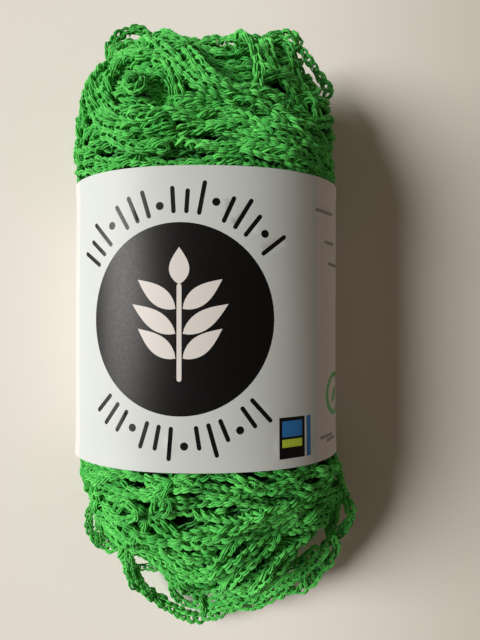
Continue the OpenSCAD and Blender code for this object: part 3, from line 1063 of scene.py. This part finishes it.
def capsule(a, b, half, count=8):
    """A rounded bar between two points."""
    a, b = np.array(a, float), np.array(b, float)
    angle = math.degrees(math.atan2(*(b - a)[::-1]))
    return np.concatenate([arc_points(b, half, angle - 90, angle + 90, count),
                           arc_points(a, half, angle + 90, angle + 270, count)])


def leaf(base, tip, width, count=14):
    """A pointed leaf from its base to its tip."""
    base, tip = np.array(base, float), np.array(tip, float)
    t = np.linspace(0, 1, count)
    middle = base + (tip - base) * t[:, None]
    across = np.array([-(tip - base)[1], (tip - base)[0]]) / np.linalg.norm(tip - base)
    half = (width / 2 * np.sin(math.pi * t ** 0.8))[:, None]
    return np.concatenate([middle + half * across, (middle - half * across)[-2:0:-1]])


def rectangle(low, high):
    (x0, y0), (x1, y1) = low, high
    return np.array([(x0, y0), (x1, y0), (x1, y1), (x0, y1)], float)


DISC = (-5.0, 0.0)                   # middle of the printed disc
DISC_R = 23.5
PANEL = (-37.1, 31.9)                # where the tinted panel starts and ends, round the strip
BAR = 0.55                           # half the width of a printed bar
DOT = 1.0                            # radius of a printed dot
SEAL = (41.5, -20.3)                 # middle of the green ring with the leaf
INK, PANEL_TINT, WHITE, BLUE, LIME, GREEN, GREY = range(7)
PAPERS = [
    paper_material("print_black", (0.0022, 0.0022, 0.0024), 0.25, 0.40, 0.22),
    paper_material("print_pale_tint", (0.51, 0.55, 0.535), 0.02, 0.55),
    paper_material("bare_white_paper", (0.63, 0.60, 0.575), 0.02, 0.60),
    paper_material("print_blue", (0.02, 0.16, 0.42), 0.10, 0.42),
    paper_material("print_lime", (0.45, 0.62, 0.05), 0.10, 0.42),
    paper_material("print_green", (0.10, 0.42, 0.12), 0.10, 0.45),
    paper_material("print_grey", (0.22, 0.23, 0.23), 0.10, 0.45),
]


def bar_arc(radius, start, end, count, rng):
    """Plain rounded bars and dots of uneven height round the disc: printed marks that spell nothing."""
    marks = []
    for i, (x, y) in enumerate(arc_points((0, 0), 1, start, end, count)):
        direction = np.array([x, y])
        base = DISC + direction * radius
        if i % 4 == 3:
            marks.append(disc_outline(base + direction * rng.uniform(2, 5), DOT, 20))
        else:
            marks.append(capsule(base + direction * 0.6, base + direction * rng.uniform(5.4, 8.2), BAR))
    return marks


def sprig():
    """A leafy sprig, white on the disc."""
    shapes = [capsule((DISC[0], -14.5), (DISC[0], 8), 0.6)]
    for y, reach in ((-9.5, 10.5), (-3.5, 12), (2.5, 10.5)):
        for side in (-1, 1):
            root = (DISC[0] + side * 0.9, y)
            shapes.append(leaf(root, (DISC[0] + side * reach, y + 7.2), 4.6))
    shapes.append(leaf((DISC[0], 8.4), (DISC[0], 17.5), 5.0))
    return shapes


def print_shapes():
    """The printed shapes as outlines and their inks, in the order that they are laid down."""
    rng = np.random.default_rng(81)
    shapes = [(rectangle((PANEL[0], -SLEEVE_END - 1), (PANEL[1], SLEEVE_END + 1)), PANEL_TINT),
              (disc_outline(DISC, DISC_R), INK)]
    shapes += [(outline, WHITE) for outline in sprig()]
    bars = bar_arc(25.6, 148, 38, 17, rng) + bar_arc(26.0, 226, 312, 14, rng)
    shapes += [(outline, INK) for outline in bars]
    # The swatches on the panel's corner, then short lines and a ring with a leaf on the bare paper.
    shapes += [
        (rectangle((19.8, -34.8), (27.2, -24.5)), INK),
        (rectangle((20.6, -29.4), (26.4, -25.4)), BLUE),
        (rectangle((20.6, -32.0), (26.4, -30.0)), LIME),
        (rectangle((27.8, -34.8), (29.2, -24.5)), BLUE),
    ]
    for u, y, wide in ((35.6, 28.6, 8), (38.2, 20.6, 5), (41.0, 15.0, 7), (36.4, -31.2, 6), (39.0, -32.4, 5)):
        shapes.append((capsule((u - wide / 2, y), (u + wide / 2, y), 0.45), GREY))
    shapes += [
        (disc_outline(SEAL, 6.0, 60), GREEN),
        (disc_outline(SEAL, 4.6, 50), WHITE),
        (leaf((39.2, -22.4), (43.8, -18.2), 2.8), GREEN),
    ]
    return shapes


def inside(outline, points):
    """Which points lie inside an outline."""
    x, y = points[:, 0], points[:, 1]
    within = np.zeros(len(points), bool)
    for (x0, y0), (x1, y1) in zip(outline, np.roll(outline, -1, axis=0)):
        crosses = (y0 > y) != (y1 > y)
        with np.errstate(divide="ignore", invalid="ignore"):
            within ^= crosses & (x < x0 + (y - y0) * (x1 - x0) / (y1 - y0))
    return within


# The strip runs round the section from LAP_START and over its own start again; u is measured from the top.
_strip_phi = np.linspace(LAP_START, LAP_START + 360 + LAP_ANGLE, 1500)
_strip_out = LAP_STEP * smoothstep(LAP_START + 360 - LAP_RAMP, LAP_START + 360, _strip_phi)
_strip_line = np.stack(section(_strip_phi), -1)
_strip_run = run_along(_strip_line + np.stack(section_normal(_strip_phi), -1) * _strip_out[:, None])
STRIP_TOP = np.interp(360 + 90, _strip_phi, _strip_run)
STRIP_STEP = 1.5                     # size of the strip's faces
paper_waves = Ripples(83, 7, 60, 0.10)


def strip_points(u, y, inward):
    """Where a place on the strip lies; inward is the distance in from the paper's outside."""
    phi = np.interp(STRIP_TOP - u, _strip_run, _strip_phi)
    x, z = section(phi)
    nx, nz = section_normal(phi)
    out = np.interp(phi, _strip_phi, _strip_out) - inward
    out = out + paper_waves(phi / 360, y) * smoothstep(12, 20, z)
    out = out + 0.25 * smoothstep(SLEEVE_END - 6, SLEEVE_END, np.abs(y)) ** 2 * smoothstep(20, 35, z)
    return np.stack([x + nx * out, y, np.maximum(z + nz * out, 0.02)], -1)


def cut_strip(shapes):
    """The strip laid flat and cut along its print's outlines: points, triangles and their inks."""
    start = STRIP_TOP - _strip_run[-1]
    us = np.linspace(start, STRIP_TOP, int((STRIP_TOP - start) / STRIP_STEP) + 1)
    ys = np.linspace(-SLEEVE_END, SLEEVE_END, int(2 * SLEEVE_END / STRIP_STEP) + 1)
    points = [(u, y) for u in us for y in ys]
    edges = []
    for side in PANEL:
        first = len(points)
        points += [(side, y) for y in ys]
        edges += [(first + i, first + i + 1) for i in range(len(ys) - 1)]
    for outline, _ in shapes[1:]:
        first = len(points)
        n = len(outline)
        points += [tuple(p) for p in outline]
        edges += [(first + i, first + (i + 1) % n) for i in range(n)]
    flat, _, tris, *_ = delaunay_2d_cdt([Vector(p) for p in points], edges, [], 0, 1e-5)
    flat = np.array([tuple(p) for p in flat])
    tris = np.array([list(t) for t in tris])
    a, b, c = (flat[tris[:, i]] for i in range(3))
    area = (b[:, 0] - a[:, 0]) * (c[:, 1] - a[:, 1]) - (b[:, 1] - a[:, 1]) * (c[:, 0] - a[:, 0])
    tris = np.where((area < 0)[:, None], tris[:, ::-1], tris)[np.abs(area) > 1e-7]
    centres = flat[tris].mean(1)
    ink = np.full(len(tris), WHITE)
    for outline, colour in shapes:
        ink[inside(outline, centres)] = colour
    return flat, tris, ink


def rim_edges(tris):
    """The edges that only one triangle has, in that triangle's direction."""
    edges = dict.fromkeys((tri[i], tri[(i + 1) % 3]) for tri in tris.tolist() for i in range(3))
    return [(p, q) for p, q in edges if (q, p) not in edges]


def build_sleeve():
    """The card strip: an outside in its inks, a bare inside and walls between them."""
    flat, tris, ink = cut_strip(print_shapes())
    rim = rim_edges(tris)
    n = len(flat)
    points = np.concatenate([strip_points(flat[:, 0], flat[:, 1], inward) for inward in (0, PAPER)])
    walls = np.array([(q, p, p + n, q + n) for p, q in rim])
    corners = np.concatenate([tris.ravel(), (tris[:, ::-1] + n).ravel(), walls.ravel()])
    sizes = np.repeat([3, 4], [2 * len(tris), len(walls)])
    sleeve = make_mesh("printed_sleeve", points, corners, sizes, PAPERS[INK])
    for material in PAPERS[1:]:
        sleeve.data.materials.append(material)
    inks = np.concatenate([ink, np.full(len(tris) + len(walls), WHITE)])
    sleeve.data.polygons.foreach_set("material_index", inks.astype(np.int32))
    sleeve.data.polygons.foreach_set("use_smooth", sizes == 3)
    wall_ends = {tuple(sorted(e)) for e in rim} | {(min(e) + n, max(e) + n) for e in rim}
    sharp = sleeve.data.attributes.new("sharp_edge", "BOOLEAN", "EDGE")
    sharp.data.foreach_set("value", [tuple(sorted(edge.vertices)) in wall_ends for edge in sleeve.data.edges])
    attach(sleeve, "sleeve")
    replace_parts(sleeve, "paper_sleeve")
    glue = bpy.data.objects["sleeve_glue"]
    glue.data.materials.clear()
    glue.data.materials.append(paper_material("dry_glue", (0.80, 0.74, 0.56), 0.08, 0.35))


# ---------------- stage

PALE = (0.78, 0.75, 0.71, 1)
PAINTED_FALLOFF_SHADE = (0.52, 0.48, 0.43, 1)       # painted shade: the floor's colour far from the window, for the light's falloff
WINDOW = Vector((-0.82, 0.12, 0.57))
LENS = 26.07                         # for a picture 36 mm long
CAMERA = (0.00973, -0.00018, 0.1617)


def build_floor():
    """A pale floor with painted shade that darkens it further from the window, standing in for the light's
    falloff.
    """
    material, tree, shader = new_material("pale_floor_painted_falloff")
    place = put(tree, "TexCoord").outputs["Object"]
    x = put(tree, "SeparateXYZ", {"Vector": place}).outputs["X"]
    # painted shade: the colour fades to the darker tone over the first 0.13 m of X
    painted_falloff = remap(tree, x, 0, 1, 0.0, 0.13, interpolation_type="SMOOTHSTEP")
    colour = mix_colours(tree, painted_falloff, PALE, PAINTED_FALLOFF_SHADE)
    set_inputs(tree, shader, {"Base Color": colour, "Roughness": 0.85, "Specular IOR Level": 0.1})
    bpy.ops.mesh.primitive_plane_add(size=6)
    floor = bpy.context.object
    floor.name = "floor"
    floor.data.materials.append(material)


def build_light():
    """Soft light from a window, weak warm light all round, and a pale backdrop for the camera only."""
    world = bpy.data.worlds.new("studio")
    bpy.context.scene.world = world
    world.use_nodes = True
    tree = world.node_tree
    fill = tree.nodes["Background"]
    set_inputs(tree, fill, {"Color": (1.0, 0.76, 0.58, 1), "Strength": 0.14})
    seen = put(tree, "LightPath").outputs["Is Camera Ray"]
    backdrop = put(tree, "Background", {"Color": PALE}).outputs["Background"]
    either = put(tree, "MixShader", {"Fac": seen, 1: fill.outputs["Background"], 2: backdrop})
    set_inputs(tree, tree.nodes["World Output"], {"Surface": either.outputs["Shader"]})
    light = bpy.data.lights.new("window", "SUN")
    light.energy = 4.55
    light.angle = math.radians(32)
    light.color = (1.0, 0.98, 0.95)
    lamp = bpy.data.objects.new("window", light)
    lamp.location = WINDOW
    lamp.rotation_euler = (-WINDOW).to_track_quat("-Z", "Y").to_euler()
    bpy.context.scene.collection.objects.link(lamp)


def build_camera():
    """A phone's camera straight above the bundle, looking down."""
    camera = bpy.data.cameras.new("camera")
    camera.lens = LENS
    camera.sensor_width = 36
    camera.clip_start = 0.005
    holder = bpy.data.objects.new("camera", camera)
    holder.location = CAMERA
    bpy.context.scene.collection.objects.link(holder)
    bpy.context.scene.camera = holder


build_core()
build_net()
build_end_swirls()
build_strays()
build_blunt_features()
build_curl()
build_blunt_loops()
build_tapered_features()
build_side_loops()
build_web()
build_edge_cords()
build_handle()
build_mouth_rim()
build_whip_stitches()
build_sleeve()
build_floor()
build_light()
build_camera()
bpy.context.scene.view_settings.view_transform = "Standard"
